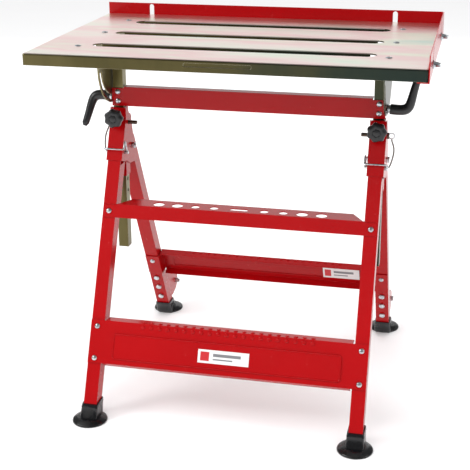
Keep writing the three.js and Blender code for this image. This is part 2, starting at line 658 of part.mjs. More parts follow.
// The rear step sits behind the legs; its ends come forward and wrap round each leg's front.
function rearStep() {
  const backY = (z) => rearFaceY(z) + REAR_LEG_DEPTH + GAP;
  const body = stepChannel(REAR_STEP.height, STEP_BODY_HALF, STEP_BODY_HALF + 2.4)
    .rotateX(-REAR_TILT)
    .rotateZ(Math.PI)
    .translate(0, backY(REAR_STEP.top) + 2.4, REAR_STEP.top);
  const noseY = (z) => rearFaceY(z) - 0.4;
  const cheek = [
    [noseY(REAR_STEP.tabTop) - 2.3, REAR_STEP.tabTop],
    [noseY(REAR_STEP.tabBottom) - 2.3, REAR_STEP.tabBottom],
    [backY(REAR_STEP.tabBottom + 3) + 1.2, REAR_STEP.tabBottom + 3],
    [backY(REAR_STEP.top - 4) + 1.2, REAR_STEP.top - 4],
  ];
  const ends = [-1, 1].flatMap((side) => {
    const inner = STEP_BODY_HALF + 0.4;
    const outer = STEP_BODY_HALF + 2.4;
    const plate = side > 0 ? [inner, outer] : [-outer, -inner];
    const tab = side > 0 ? [inner, SIDE_X + 15] : [-SIDE_X - 15, -inner];
    return [
      sidePlate(cheek, ...plate),
      leaningSlab(noseY, REAR_STEP.tabTop, REAR_STEP.tabBottom, -2.3, 0, ...tab),
    ];
  });
  const z = REAR_STEP.bolt;
  const holes = [-SIDE_X, SIDE_X].map((x) =>
    leaningDrill(SCREW_HOLE, x, rearFaceY(z), z, REAR_TILT),
  );
  return cut(join(body, ...ends), ...holes);
}

// ---- feet and foot brackets ----
function foot(lineY, depth, footY, halfWidth) {
  const disc = new THREE.CylinderGeometry(FOOT_RADIUS - 1.5, FOOT_RADIUS, 6, 28)
    .rotateX(Math.PI / 2)
    .translate(SIDE_X, footY, 3);
  const wall = 2.6;
  const half = halfWidth + GAP + wall;
  const reach = [-GAP - wall * 1.2, depth + GAP + wall * 1.2];
  const collar = leaningSlab(lineY, 34, 3, reach[0], reach[1], SIDE_X - half, SIDE_X + half);
  const room = halfWidth + GAP;
  const pocket = leaningSlab(lineY, 60, 7.6, -GAP, depth + GAP, SIDE_X - room, SIDE_X + room);
  return cut(join(disc, collar), pocket);
}

// Channel bracket bolted inside the rear leg, its two cheeks standing out behind the leg.
function footBracket() {
  const outer = REAR_LEG_INNER - GAP;
  const inner = outer - 1.8;
  const webY = (z) => rearFaceY(z) + 2.6;
  const cheek = [
    [webY(132), 132],
    [webY(42), 42],
    [320, 39],
    [348, 46],
    [363, 60],
    [358, 78],
    [330, 96],
  ];
  const plates = [
    sidePlate(cheek, SIDE_X - outer, SIDE_X - inner),
    sidePlate(cheek, SIDE_X + inner, SIDE_X + outer),
  ];
  const web = leaningSlab(webY, 132, 42, 0, 2.1, SIDE_X - outer, SIDE_X + outer);
  const bolts = BRACKET_BOLTS.flatMap((z) => [
    rodY(3, -1, 3.6, 0, 0, 12),
    rodY(5.6, -3.6, -GAP, 0, 0, 14),
  ].map((rod) => rod.rotateX(REAR_TILT).translate(SIDE_X, rearFaceY(z), z)));
  const { y, z } = BRACKET_CROSS_BOLT;
  const crossHole = rodX(PIVOT_RADIUS + GAP, 240, 310, y, z);
  return cut(join(...plates, web, ...bolts), crossHole);
}

// Bolt through both cheeks of a foot bracket, with a head and a nut.
function bracketBolt() {
  const { y, z } = BRACKET_CROSS_BOLT;
  const edge = REAR_LEG_INNER;
  const head = rodX(6.5, SIDE_X + edge, SIDE_X + edge + 5, y, z, 6);
  const nut = rodX(6.5, SIDE_X - edge - 6, SIDE_X - edge, y, z, 6);
  const shank = rodX(PIVOT_RADIUS, SIDE_X - edge - 10, SIDE_X + edge + 1, y, z, 14);
  return join(head, nut, shank);
}

// ---- knobs and pins ----
function starKnob() {
  const lobes = 7;
  const star = new THREE.Shape();
  const count = lobes * 4;
  for (let i = 0; i < count; i += 1) {
    const angle = (i / count) * Math.PI * 2;
    const radius = 18.6 + 1.9 * Math.cos(lobes * angle);
    const x = radius * Math.cos(angle);
    const y = radius * Math.sin(angle);
    if (i === 0) star.moveTo(x, y);
    else star.lineTo(x, y);
  }
  const head = new THREE.ExtrudeGeometry(star, {
    depth: 12,
    bevelThickness: 2,
    bevelSize: 1.5,
    bevelSegments: 1,
  })
    .rotateX(Math.PI / 2)
    .translate(SIDE_X, -40, KNOB_Z);
  const hub = rodY(9.5, -42, -27, SIDE_X, KNOB_Z, 14);
  const screw = rodY(PIVOT_RADIUS, -28, -POST / 2 - GAP, SIDE_X, KNOB_Z, 12);
  return join(head, hub, screw);
}

function heightPin() {
  const outside = SIDE_X + BRACKET_INNER + BRACKET_WALL;
  const shank = rodX(PIN_RADIUS, 239, outside + 4, 0, PIN_Z, 16);
  const head = rodX(6.5, outside + GAP, outside + 4, 0, PIN_Z, 16);
  const eye = new THREE.TorusGeometry(5.5, 1.3, 6, 12).translate(outside + 9, 0, PIN_Z);
  return join(shank, head, eye);
}

// Pin and its spring wire, which passes round the front of the bracket.
function lockPin() {
  const outside = SIDE_X + BRACKET_INNER + BRACKET_WALL;
  const inside = SIDE_X - BRACKET_INNER - BRACKET_WALL;
  const shank = rodX(3.6, inside - 7, outside + 6, LOCK.y, LOCK.z, 14);
  const head = rodX(5.5, outside + 1, outside + 6, LOCK.y, LOCK.z, 14);
  const wire = tube(
    [
      [outside + 3, LOCK.y, LOCK.z],
      [outside + 3, LOCK.y - 8, LOCK.z + 4],
      [outside + 4, LOCK.y - 20, LOCK.z + 11],
      [outside - 1, LOCK.y - 25, LOCK.z + 13],
      [SIDE_X, LOCK.y - 25, LOCK.z + 13],
      [inside + 1, LOCK.y - 25, LOCK.z + 13],
      [inside - 4, LOCK.y - 22, LOCK.z + 14],
      [inside - 4.5, LOCK.y - 12, LOCK.z + 26],
      [inside - 4.5, LOCK.y - 7, LOCK.z + 16],
      [inside - 4.5, LOCK.y, LOCK.z],
    ],
    1.5,
    3,
    36,
  );
  return join(shank, head, wire);
}

// Cord from under the height pin's eye down to the outer face of the lock pin's head.
const TETHER_ROUTE = [
  [301.4, 0.0, 563.8],
  [302.0, -0.1, 560.4],
  [303.2, -0.7, 557.0],
  [304.6, -1.7, 553.5],
  [305.9, -3.2, 550.0],
  [306.8, -5.1, 546.5],
  [307.2, -7.4, 543.0],
  [307.3, -9.9, 539.6],
  [307.0, -12.5, 536.2],
  [306.5, -15.2, 532.8],
  [305.9, -17.8, 529.4],
  [305.1, -20.4, 526.0],
  [304.2, -22.9, 522.6],
  [303.1, -25.3, 519.3],
  [301.9, -27.5, 516.3],
  [300.7, -29.1, 514.1],
  [299.6, -29.9, 512.9],
];

function tether() {
  return tube(TETHER_ROUTE, 1.5, 4, 16);
}

// ---- assembly ----
add("tabletop", tabletop(), zincGold());
add("rear_rail", rearRail(), redPaint());
add("right_rail", rightRail(), redPaint());
add("crossbar", crossbar(), redPaint());
add("shelf", shelf(), redPaint());

addPair("tilt_plate", tiltPlate(), zincGold);
addPair("post", post(), zincGold);
addPair("sleeve", sleeve(), redPaint);
addPair("leg_bracket", legBracket(), redPaint);
addPair("front_leg", frontLeg(), redPaint);
addPair("front_foot", foot(legFaceY, FRONT_LEG_DEPTH, -264, FRONT_LEG_HALF), blackRubber);
addPair("rear_leg", rearLeg(), redPaint);
addPair(
  "rear_foot",
  foot(rearFaceY, REAR_LEG_DEPTH, 321, REAR_LEG_INNER + REAR_LEG_WALL),
  blackRubber,
);
addPair("fold_bolt", foldBolt(), brightZinc);
addPair("foot_bracket", footBracket(), redPaint);
addPair("bracket_bolt", bracketBolt(), brightZinc);
addPair("star_knob", starKnob(), blackPlastic);
addPair("height_pin", heightPin(), darkSteel);
addPair("lock_pin", lockPin(), brightZinc);
addPair("tether", tether(), cordBlack);

add("clamp_lever_left", clampLever(-1), blackPlastic(), sides.left);
add("clamp_lever_right", clampLever(1), blackPlastic(), sides.right);
add("front_step", frontStep(), redPaint());
add("rear_step", rearStep(), redPaint());

// Round-headed bolts of the crossbar and of both steps, each turned square to its face.
function addBolts(name, length, x, heights, lineY, standOff, tilt) {
  heights.forEach((z, i) => {
    const group = new THREE.Group();
    group.position.set(x, lineY(z), z);
    group.rotation.x = tilt;
    group.translateY(-standOff);
    table.add(group);
    const side = x < 0 ? "left" : "right";
    const number = heights.length > 1 ? `_${i + 1}` : "";
    add(`${name}_${side}${number}`, headBolt(length), brightZinc(), group);
  });
}
for (const x of [-SIDE_X, SIDE_X]) {
  addBolts("step_bolt", 7, x, FRONT_STEP.bolts, legFaceY, 2.6, FRONT_TILT);
  addBolts("rear_step_bolt", 7, x, [REAR_STEP.bolt], rearFaceY, 2.4, REAR_TILT);
  addBolts("crossbar_bolt", 6, x, CROSSBAR.bolts, () => -POST / 2, GAP + SHEET, 0);
}

// Rail bolts and wing nuts: two through the rear rim, two through the right rim.
const railStations = [
  { name: "rear_1", at: [-RAIL_BOLT_X, TOP_DEPTH / 2, RAIL_BOLT_Z], turn: 0 },
  { name: "rear_2", at: [RAIL_BOLT_X, TOP_DEPTH / 2, RAIL_BOLT_Z], turn: 0 },
  { name: "right_1", at: [TOP_WIDTH / 2, -RAIL_BOLT_Y, RAIL_BOLT_Z], turn: -Math.PI / 2 },
  { name: "right_2", at: [TOP_WIDTH / 2, RAIL_BOLT_Y, RAIL_BOLT_Z], turn: -Math.PI / 2 },
];
for (const { name, at, turn } of railStations) {
  const group = new THREE.Group();
  group.position.set(...at);
  group.rotation.z = turn;
  table.add(group);
  add(`rail_bolt_${name}`, railBolt(), brightZinc(), group);
  add(`wing_nut_${name}`, wingNut(), brightZinc(), group);
}

table.position.set(TO_FOOTPRINT.x, TO_FOOTPRINT.y, 0);
export default new THREE.Group().add(table);
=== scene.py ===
import math

import bmesh
import bpy
from mathutils import Matrix, Vector


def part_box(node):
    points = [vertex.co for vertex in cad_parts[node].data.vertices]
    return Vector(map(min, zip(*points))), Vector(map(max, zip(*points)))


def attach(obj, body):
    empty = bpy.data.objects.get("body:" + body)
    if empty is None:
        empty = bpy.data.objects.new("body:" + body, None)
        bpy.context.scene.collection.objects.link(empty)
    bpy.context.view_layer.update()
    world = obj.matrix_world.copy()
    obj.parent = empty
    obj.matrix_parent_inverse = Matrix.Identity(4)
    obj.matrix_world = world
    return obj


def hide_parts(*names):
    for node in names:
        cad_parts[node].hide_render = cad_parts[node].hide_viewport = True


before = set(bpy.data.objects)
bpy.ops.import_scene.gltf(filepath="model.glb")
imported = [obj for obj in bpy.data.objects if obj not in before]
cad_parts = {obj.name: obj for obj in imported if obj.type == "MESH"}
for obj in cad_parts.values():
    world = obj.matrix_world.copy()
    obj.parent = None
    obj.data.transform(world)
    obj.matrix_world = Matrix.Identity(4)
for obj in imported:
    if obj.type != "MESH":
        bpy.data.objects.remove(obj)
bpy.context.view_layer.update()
MM = 0.001


# ---- Camera ----
# Stands a little to the right of the table's front and looks down on it from above the top.
camera_data = bpy.data.cameras.new("camera")
camera_data.lens = 84.3
camera_data.sensor_width = 36
camera_data.shift_y = -0.1
camera = bpy.data.objects.new("camera", camera_data)
camera.location = (0.4657, -2.2045, 1.153)
camera.rotation_euler = [math.radians(angle) for angle in (72.23, 0.23, 12.87)]
bpy.context.collection.objects.link(camera)
bpy.context.scene.camera = camera
bpy.context.scene.view_settings.view_transform = "Standard"


# ---- Tethers ----
# A short plastic-sheathed cable on each side hangs in one easy curve from just under the
# height pin's ring to the lock pin's head. It stays with the front frame when a pin moves.
class Socket:
    """A socket of a node tree. Sums and products of sockets and numbers add Math nodes."""

    def __init__(self, finish, output):
        self.finish = finish
        self.output = output

    def math(self, operation, first, second):
        return self.finish.node("ShaderNodeMath", {"operation": operation}, {0: first, 1: second})

    def __add__(self, other):
        return self.math("ADD", self, other)

    def __sub__(self, other):
        return self.math("SUBTRACT", self, other)

    def __rsub__(self, other):
        return self.math("SUBTRACT", other, self)

    def __mul__(self, other):
        return self.math("MULTIPLY", self, other)

    __radd__ = __add__


class Finish:
    """A material or a world made of nodes."""

    def __init__(self, owner):
        self.owner = owner
        owner.use_nodes = True
        self.tree = owner.node_tree

    def feed(self, socket, value):
        if isinstance(value, Socket):
            self.tree.links.new(value.output, socket)
        else:
            socket.default_value = value

    def node(self, kind, settings, values, output=0):
        made = self.tree.nodes.new(kind)
        for key, value in settings.items():
            if key == "stops":
                while len(made.color_ramp.elements) < len(value):
                    made.color_ramp.elements.new(1)
                for element, (position, colour) in zip(made.color_ramp.elements, value):
                    element.position = position
                    element.color = (*colour, 1)
            else:
                setattr(made, key, value)
        for key, value in values.items():
            self.feed(made.inputs[key], value)
        return Socket(self, made.outputs[output])

    def surface(self, values):
        shader = self.tree.nodes["Principled BSDF"]
        for key, value in values.items():
            self.feed(shader.inputs[key], value)

    def noise(self, scale, detail=3, stretch=(1, 1, 1)):
        place = self.node("ShaderNodeTexCoord", {}, {}, "Object")
        mapped = self.node("ShaderNodeMapping", {}, {"Vector": place, "Scale": stretch})
        values = {"Vector": mapped, "Scale": scale, "Detail": detail}
        return self.node("ShaderNodeTexNoise", {}, values, "Fac")

    def ramp(self, factor, *stops):
        return self.node("ShaderNodeValToRGB", {"stops": stops}, {"Fac": factor})

    def between(self, value, low, high):
        """0 where value is low or less, 1 where it is high or more, and smooth between."""
        settings = {"interpolation_type": "SMOOTHSTEP"}
        return self.node("ShaderNodeMapRange", settings, {0: value, 1: low, 2: high})

    def mix(self, factor, first, second):
        values = {0: factor, 6: first, 7: second}
        return self.node("ShaderNodeMix", {"data_type": "RGBA"}, values, 2)

    def bump(self, height, strength, distance, normal=None):
        values = {"Height": height, "Strength": strength, "Distance": distance}
        if normal:
            values["Normal"] = normal
        return self.node("ShaderNodeBump", {}, values)


def new_finish(name):
    return Finish(bpy.data.materials.new(name))


def middle_of(node):
    low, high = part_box(node)
    return (Vector(low) + Vector(high)) / 2


SIDES = {"left": -1, "right": 1}
POST = {side: middle_of(f"sleeve_{side}") for side in SIDES}
MIDDLE = (POST["left"] + POST["right"]) / 2
TETHER_DIAMETER = 0.003
TETHER_ROUTE = [
    (0.3014, 0.0000, 0.5638),
    (0.3020, -0.0001, 0.5604),
    (0.3032, -0.0007, 0.5570),
    (0.3046, -0.0017, 0.5535),
    (0.3059, -0.0032, 0.5500),
    (0.3068, -0.0051, 0.5465),
    (0.3072, -0.0074, 0.5430),
    (0.3073, -0.0099, 0.5396),
    (0.3070, -0.0125, 0.5362),
    (0.3065, -0.0152, 0.5328),
    (0.3059, -0.0178, 0.5294),
    (0.3051, -0.0204, 0.5260),
    (0.3042, -0.0229, 0.5226),
    (0.3031, -0.0253, 0.5193),
    (0.3019, -0.0275, 0.5163),
    (0.3007, -0.0291, 0.5141),
    (0.2996, -0.0299, 0.5129),
]


def at(side, x, y, z):
    """A point given from the middle of the two posts and the floor, x out towards that side."""
    return Vector((MIDDLE.x + SIDES[side] * x, MIDDLE.y + y, z))


def curved_rod(name, points, diameter, finish, closed=False):
    line = bpy.data.curves.new(name, "CURVE")
    line.dimensions = "3D"
    line.bevel_depth = diameter / 2
    line.bevel_resolution = 4
    line.use_fill_caps = True
    spline = line.splines.new("POLY")
    spline.points.add(len(points) - 1)
    for knot, point in zip(spline.points, points):
        knot.co = (*point, 1)
    spline.use_cyclic_u = closed
    line.materials.append(finish.owner)
    rod = bpy.data.objects.new(name, line)
    bpy.context.collection.objects.link(rod)
    return rod


sheath = new_finish("cable_sheath")
twist = sheath.noise(1500, 2, (1, 1, 3))
sheath.surface({
    "Base Color": sheath.mix(twist, (0.05, 0.038, 0.03, 1), (0.22, 0.19, 0.16, 1)),
    "Roughness": 0.3 + twist * 0.2,
    "Normal": sheath.bump(twist, 0.4, 0.0004),
})
for side in SIDES:
    route = [at(side, *point) for point in TETHER_ROUTE]
    tether = curved_rod(f"tether_cable_{side}", route, TETHER_DIAMETER, sheath)
    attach(tether, "front_frame")
    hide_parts(f"tether_{side}")


# ---- Floor and light ----
# A plain pale floor that runs on behind the table. A soft box stands on each side, and a wide
# screen behind is mirrored in the steel top. The front and overhead boxes are not mirrored.
FLOOR_HALF = 20
floor_shape = bmesh.new()
bmesh.ops.create_grid(floor_shape, x_segments=2, y_segments=2, size=FLOOR_HALF)
floor_mesh = bpy.data.meshes.new("floor")
floor_shape.to_mesh(floor_mesh)
floor_shape.free()
pale = new_finish("pale_floor")
pale.surface({
    "Base Color": pale.mix(pale.noise(3), (0.93, 0.93, 0.93, 1), (0.95, 0.95, 0.95, 1)),
    "Roughness": 0.8,
})
floor_mesh.materials.append(pale.owner)
floor = bpy.data.objects.new("floor", floor_mesh)
bpy.context.collection.objects.link(floor)

world = Finish(bpy.data.worlds.new("studio"))
bpy.context.scene.world = world.owner
direction = world.node("ShaderNodeTexCoord", {}, {}, "Generated")
elevation = world.node("ShaderNodeSeparateXYZ", {}, {0: direction}, 2)
sky = world.ramp(elevation, (0, (0.62, 0.62, 0.63)), (0.4, (0.8, 0.8, 0.81)), (1, (1, 1, 1)))
mirrored = world.node("ShaderNodeLightPath", {}, {}, "Is Glossy Ray")
background = world.tree.nodes["Background"].inputs
world.feed(background["Color"], sky)
world.feed(background["Strength"], 1.08 - mirrored * 0.8)


def soft_box(name, place, size, power, mirrored=True):
    lamp_data = bpy.data.lights.new(name, "AREA")
    lamp_data.shape = "RECTANGLE"
    lamp_data.size, lamp_data.size_y = size
    lamp_data.energy = power
    lamp = bpy.data.objects.new(name, lamp_data)
    lamp.location = place
    lamp.rotation_euler = (Vector((0, 0, 0.4)) - Vector(place)).to_track_quat("-Z", "Y").to_euler()
    lamp.visible_camera = False
    lamp.visible_glossy = mirrored
    bpy.context.collection.objects.link(lamp)


soft_box("key", (-3.0, -1.6, 2.6), (1.4, 1.4), 60)
soft_box("front", (-0.8, -3.2, 2.6), (2.0, 2.0), 34, mirrored=False)
soft_box("fill", (3.2, -0.6, 1.4), (0.8, 1.6), 12)
soft_box("screen", (-0.8, 3.8, 1.5), (5.0, 2.2), 30)
soft_box("overhead", (0.2, 0.4, 4.2), (4.0, 4.0), 62, mirrored=False)


# ---- Red powder-coated steel ----
# Legs, brackets, sleeves, steps, shelf, crossbar and rails are pressed from 2 mm sheet and
# sprayed with a glossy red powder that is baked on. It dulls a little on the edges, and the edges are
# painted a lighter red as a painted highlight.
def rounded_edges(finish, radius):
    """The normal with sharp edges rounded, and a mask of where the edges are."""
    rounded = finish.node("ShaderNodeBevel", {"samples": 4}, {"Radius": radius})
    true_normal = finish.node("ShaderNodeNewGeometry", {}, {}, "Normal")
    settings = {"operation": "DOT_PRODUCT"}
    alike = finish.node("ShaderNodeVectorMath", settings, {0: rounded, 1: true_normal}, "Value")
    return rounded, finish.between(1 - alike, 0.01, 0.22)


red = new_finish("red_powder_coat")
red_normal, red_edge_wear_and_highlight = rounded_edges(red, 0.9 * MM)
peel = red.noise(700, 2)
cloud = red.noise(7, 4)
dust = red.between(red.noise(60, 5), 0.58, 0.85)
even_red = red.mix(cloud, (0.34, 0.0012, 0.0025, 1), (0.42, 0.002, 0.004, 1))
dusty_red = red.mix(dust * 0.04, even_red, (0.55, 0.10, 0.08, 1))
red.surface({
    # Painted highlight: sharp edges are painted a lighter red; their extra roughness is wear.
    "Base Color": red.mix(red_edge_wear_and_highlight * 0.35, dusty_red, (0.74, 0.04, 0.04, 1)),
    "Roughness": 0.22 + dust * 0.12 + red_edge_wear_and_highlight * 0.1,
    "Specular IOR Level": 0.18,
    "Coat Weight": 0.1 - dust * 0.06,
    "Coat Roughness": 0.04,
    "Normal": red.bump(peel, 0.06, 0.0002, red_normal),
})


def paint(finish, *nodes):
    for node in nodes:
        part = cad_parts[node]
        part.data.materials.clear()
        part.data.materials.append(finish.owner)


RED_PARTS = ["rear_rail", "right_rail", "crossbar", "shelf", "front_step", "rear_step"]
RED_PAIRS = ["sleeve", "leg_bracket", "front_leg", "rear_leg", "foot_bracket"]
paint(red, *RED_PARTS, *(f"{name}_{side}" for name in RED_PAIRS for side in SIDES))


# ---- Yellow-passivated zinc plate ----
# The top, its two tilt plates and the posts are zinc plated and dipped in a yellow passivate.
# The film is clear to pink on the flat sheet and runs to gold, olive and blue-green on the sides,
# which are painted much darker as painted shade and darker still towards the right.
zinc = new_finish("yellow_zinc_plate")
zinc_normal, zinc_edge_highlight = rounded_edges(zinc, 1.2 * MM)
own_normal = zinc.node("ShaderNodeTexCoord", {}, {}, "Normal")
upward = zinc.node("ShaderNodeSeparateXYZ", {}, {0: own_normal}, 2)
flat = zinc.between(upward, 0.35, 0.95)
own_place = zinc.node("ShaderNodeTexCoord", {}, {}, "Object")
painted_shade_across = zinc.node("ShaderNodeSeparateXYZ", {}, {0: own_place}, 0)
film = zinc.noise(3.1, 4, (0.6, 1.7, 1))
rolled = zinc.noise(260, 3, (0.03, 1, 1))
streak = zinc.noise(30, 3, (1, 1, 0.3))
flat_film = zinc.ramp(
    film,
    (0.30, (0.50, 0.70, 0.58)),
    (0.40, (0.78, 0.84, 0.70)),
    (0.47, (0.90, 0.76, 0.70)),
    (0.53, (0.90, 0.64, 0.62)),
    (0.60, (0.86, 0.84, 0.70)),
    (0.67, (0.60, 0.76, 0.66)),
    (0.78, (0.74, 0.60, 0.36)),
)
# Painted shade: faces that stand up take a much darker colour than the flat sheet, and it darkens
# further towards the right.
side_film_painted_shade = zinc.ramp(
    film * 0.75 + streak * 0.12 + painted_shade_across * -0.5 + 0.02,
    (0.10, (0.014, 0.030, 0.036)),
    (0.32, (0.038, 0.048, 0.034)),
    (0.52, (0.10, 0.085, 0.036)),
    (0.72, (0.19, 0.16, 0.070)),
    (0.92, (0.42, 0.33, 0.14)),
)
plated = zinc.mix(flat, side_film_painted_shade, flat_film)
zinc.surface({
    # Painted highlight: sharp edges are painted a pale gold.
    "Base Color": zinc.mix(zinc_edge_highlight * 0.5, plated, (0.86, 0.80, 0.60, 1)),
    "Metallic": 1.0,
    "Roughness": 0.2 + film * 0.12 + rolled * 0.1,
    "Normal": zinc.bump(rolled, 0.05, 0.0002, zinc_normal),
})
paint(zinc, "tabletop", *(f"{name}_{side}" for name in ("tilt_plate", "post") for side in SIDES))


# ---- Bright zinc fasteners ----
# Clear zinc-plated steel: domed carriage bolts hold the steps, with hex nuts behind, and the
# crossbar. Hex bolts make the pivots, and wing nuts on short bolts clamp the guide rails.
bright = new_finish("clear_zinc_plate")
bright_normal, bright_edge = rounded_edges(bright, 0.5 * MM)
tarnish = bright.noise(130, 4)
bright.surface({
    "Base Color": bright.ramp(
        tarnish,
        (0.35, (0.42, 0.47, 0.50)),
        (0.55, (0.66, 0.71, 0.74)),
        (0.75, (0.74, 0.76, 0.70)),
    ),
    "Metallic": 1.0,
    "Roughness": 0.2 + tarnish * 0.2 + bright_edge * 0.05,
    "Normal": bright.bump(bright.noise(900, 2), 0.08, 0.0002, bright_normal),
})
STATIONS = ["rear_1", "rear_2", "right_1", "right_2"]
paint(bright, *(f"{name}_{station}" for name in ("rail_bolt", "wing_nut") for station in STATIONS))
paint(bright, *(f"{name}_{side}" for name in ("fold_bolt", "bracket_bolt") for side in SIDES))


def turned(profile, segments=40):
    """A solid turned about Z from (radius, height) points that start and end on the axis."""
    shape = bmesh.new()
    points = [shape.verts.new((radius, 0, height)) for radius, height in profile]
    edges = [shape.edges.new(pair) for pair in zip(points, points[1:])]
    bmesh.ops.spin(
        shape,
        geom=points + edges,
        cent=(0, 0, 0),
        axis=(0, 0, 1),
        angle=2 * math.pi,
        steps=segments,
        use_merge=True,
    )
    bmesh.ops.remove_doubles(shape, verts=shape.verts[:], dist=1e-6)
    return shape


def hexagon(radius, low, high, bevel=0.35 * MM):
    """A hex head or nut about Z with softened edges."""
    shape = bmesh.new()
    bmesh.ops.create_cone(
        shape, cap_ends=True, segments=6, radius1=radius, radius2=radius, depth=high - low,
    )
    bmesh.ops.translate(shape, verts=shape.verts[:], vec=(0, 0, (low + high) / 2))
    bmesh.ops.bevel(
        shape, geom=shape.edges[:], offset=bevel, affect="EDGES", segments=2, profile=0.5, material=-1,
    )
    return shape


def placed(shape, point, outward):
    """The shape moved so that its foot is at point and its Z axis runs outward."""
    turn = Vector(outward).to_track_quat("Z", "Y").to_matrix().to_4x4()
    bmesh.ops.transform(shape, matrix=Matrix.Translation(point) @ turn, verts=shape.verts[:])
    return shape


def together(*shapes):
    whole = bmesh.new()
    for shape in shapes:
        part = bpy.data.meshes.new("part")
        shape.to_mesh(part)
        shape.free()
        whole.from_mesh(part)
        bpy.data.meshes.remove(part)
    return whole


CREASE_ANGLE = 0.7


def new_piece(name, shape, finish, body, slot, *replaced):
    """Finishes a shape as a piece: smooth except at its sharp edges, on its body."""
    bmesh.ops.recalc_face_normals(shape, faces=shape.faces[:])
    for face in shape.faces:
        face.smooth = True
    for edge in shape.edges:
        if len(edge.link_faces) == 2 and edge.calc_face_angle() > CREASE_ANGLE:
            edge.smooth = False
    mesh = bpy.data.meshes.new(name)
    shape.to_mesh(mesh)
    shape.free()
    mesh.materials.append(finish.owner)
    piece = bpy.data.objects.new(name, mesh)
    bpy.context.collection.objects.link(piece)
    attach(piece, body)
    if replaced:
        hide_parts(*replaced)


def outermost(node, outward):
    """The middle of the face of a CAD part that lies furthest outward."""
    points = [vertex.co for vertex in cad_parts[node].data.vertices]
    reach = max(point.dot(outward) for point in points)
    face = [point for point in points if point.dot(outward) > reach - 0.02 * MM]
    return sum(face, Vector()) / len(face)


def carriage_bolt(nut=True):
    """A domed bolt along Z: the head stands on z = 0 and the shank runs down from it."""
    length = 11 * MM if nut else 6 * MM
    head = turned([
        (0, -length),
        (2.6 * MM, -length),
        (3.0 * MM, 0.4 * MM - length),
        (3.0 * MM, 0),
        (5.7 * MM, 0),
        (5.7 * MM, 0.5 * MM),
        (5.3 * MM, 1.4 * MM),
        (4.5 * MM, 2.3 * MM),
        (3.3 * MM, 3.0 * MM),
        (1.7 * MM, 3.4 * MM),
        (0, 3.5 * MM),
    ])
    if not nut:
        return head
    return together(head, hexagon(5.6 * MM, -9.6 * MM, -5.1 * MM))


HEAD_TO_SHEET = 3.6 * MM
PAN_HEAD_SUNK = 2.1 * MM
TILT_STUD_FACE = 291.2 * MM
TILT_STUD_HEIGHT = 705 * MM
BRACKET_BOLTS = [120 * MM, 90 * MM, 58 * MM]
PAN_HEAD = [
    (0, 0),
    (6.5 * MM, 0),
    (6.6 * MM, 2.9 * MM),
    (6.2 * MM, 3.8 * MM),
    (5.0 * MM, 4.4 * MM),
    (2.6 * MM, 4.8 * MM),
    (0, 4.9 * MM),
]
upper, lower = middle_of("step_bolt_right_1"), middle_of("step_bolt_right_2")
FRONT_LEAN = math.atan2(upper.y - lower.y, upper.z - lower.z)
REAR_SLOPE = 0.532
REAR_LEAN = math.atan(REAR_SLOPE)
FORWARD = {
    "front": Vector((0, -math.cos(FRONT_LEAN), math.sin(FRONT_LEAN))),
    "rear": Vector((0, -math.cos(REAR_LEAN), -math.sin(REAR_LEAN))),
    "upright": Vector((0, -1, 0)),
}
for side in SIDES:
    bolts = [(f"step_bolt_{side}_{i}", "front", "front_frame") for i in (1, 2)]
    bolts += [(f"crossbar_bolt_{side}_{i}", "upright", "lift") for i in (1, 2)]
    bolts.append((f"rear_step_bolt_{side}", "rear", "rear_frame"))
    for node, facing, body in bolts:
        outward = FORWARD[facing]
        foot = outermost(node, outward) - outward * HEAD_TO_SHEET
        bolt = placed(carriage_bolt(facing != "upright"), foot, outward)
        new_piece(f"carriage_{node}", bolt, bright, body, "bright_zinc", node)

    # Three pan-headed bolts hold each foot bracket inside the rear leg.
    leg_face = outermost(f"rear_step_bolt_{side}", FORWARD["rear"]) - FORWARD["rear"] * HEAD_TO_SHEET
    for number, height in enumerate(BRACKET_BOLTS, 1):
        drop = leg_face.z - height
        head_place = leg_face + Vector((0, REAR_SLOPE * drop, -drop)) - FORWARD["rear"] * PAN_HEAD_SUNK
        pan_bolt = placed(turned(PAN_HEAD), head_place, FORWARD["rear"])
        new_piece(f"bracket_pan_bolt_{side}_{number}", pan_bolt, bright, "rear_frame", "bright_zinc")

    # Hex nut and washer over the tilt stud, outside the tilt plate.
    stud = at(side, TILT_STUD_FACE, 0, TILT_STUD_HEIGHT)
    washer = turned([(0, 0), (11 * MM, 0), (11 * MM, 1.2 * MM), (0, 1.2 * MM)])
    nut = together(washer, hexagon(9.2 * MM, 1.2 * MM, 7.4 * MM, 0.6 * MM))
    new_piece(
        f"tilt_nut_{side}", placed(nut, stud, (SIDES[side], 0, 0)), bright, "lift", "bright_zinc",
    )


# ---- Black moulded knobs and clamp levers ----
# Glass-filled nylon, moulded on steel inserts. The star knobs press on the posts through the
# sleeves; the bent clamp levers hold the tilt plates and sit one grip up and one down.
plastic = new_finish("black_moulded_nylon")
grain = plastic.noise(1300, 2)
handled = plastic.noise(60, 4)
plastic.surface({
    "Base Color": plastic.mix(handled, (0.004, 0.004, 0.005, 1), (0.014, 0.014, 0.015, 1)),
    "Roughness": 0.24 + handled * 0.18,
    "Normal": plastic.bump(grain, 0.18, 0.0003),
})
KNOB_LOBES = 7
KNOB_LOBE_DEPTH = 0.065
KNOB_RADIUS = 19.2 * MM
KNOB_LAYERS = [
    (0.50, 0.0),
    (0.86, 0.4),
    (0.97, 1.8),
    (1.00, 4.0),
    (1.00, 11.0),
    (0.96, 13.6),
    (0.84, 15.4),
    (0.62, 16.0),
    (0.42, 15.7),
    (0.36, 14.2),
    (0.10, 13.9),
]


